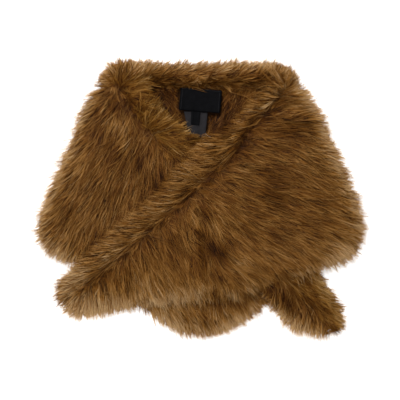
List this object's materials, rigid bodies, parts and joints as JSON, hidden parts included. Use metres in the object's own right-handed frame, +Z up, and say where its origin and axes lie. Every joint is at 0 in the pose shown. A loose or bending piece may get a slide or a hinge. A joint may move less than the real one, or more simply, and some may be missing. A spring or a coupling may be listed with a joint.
{
  "type": "fur collar wrap",
  "caption": "Long-pile fur collar wrap laid flat, its right front crossed over the left in two tails, with labels in the back neck.",
  "frame": {"origin": "middle of the whole outline in plan, on the surface that the wrap lies on", "axes": "+X to the right and +Y towards the back neck as it is looked down on, +Z up from the surface"},
  "size_m": [0.492, 0.415, 0.045],
  "materials": {
    "pile_back": "long acrylic fur pile, caramel brown, pressed",
    "pile_fronts": "long acrylic fur pile, caramel brown with golden tips",
    "pile_strip": "long acrylic fur pile, lighter tan brown",
    "label_black": "black woven satin",
    "label_grey": "slate grey printed satin"
  },
  "bodies": {
    "root": {"back": "pile_back", "left_front": "pile_fronts", "right_front": "pile_fronts", "back_band": "pile_strip", "left_band": "pile_strip", "right_band": "pile_strip", "main_label": "label_black", "size_tab": "label_black", "care_label": "label_grey"}
  },
  "joints": []
}
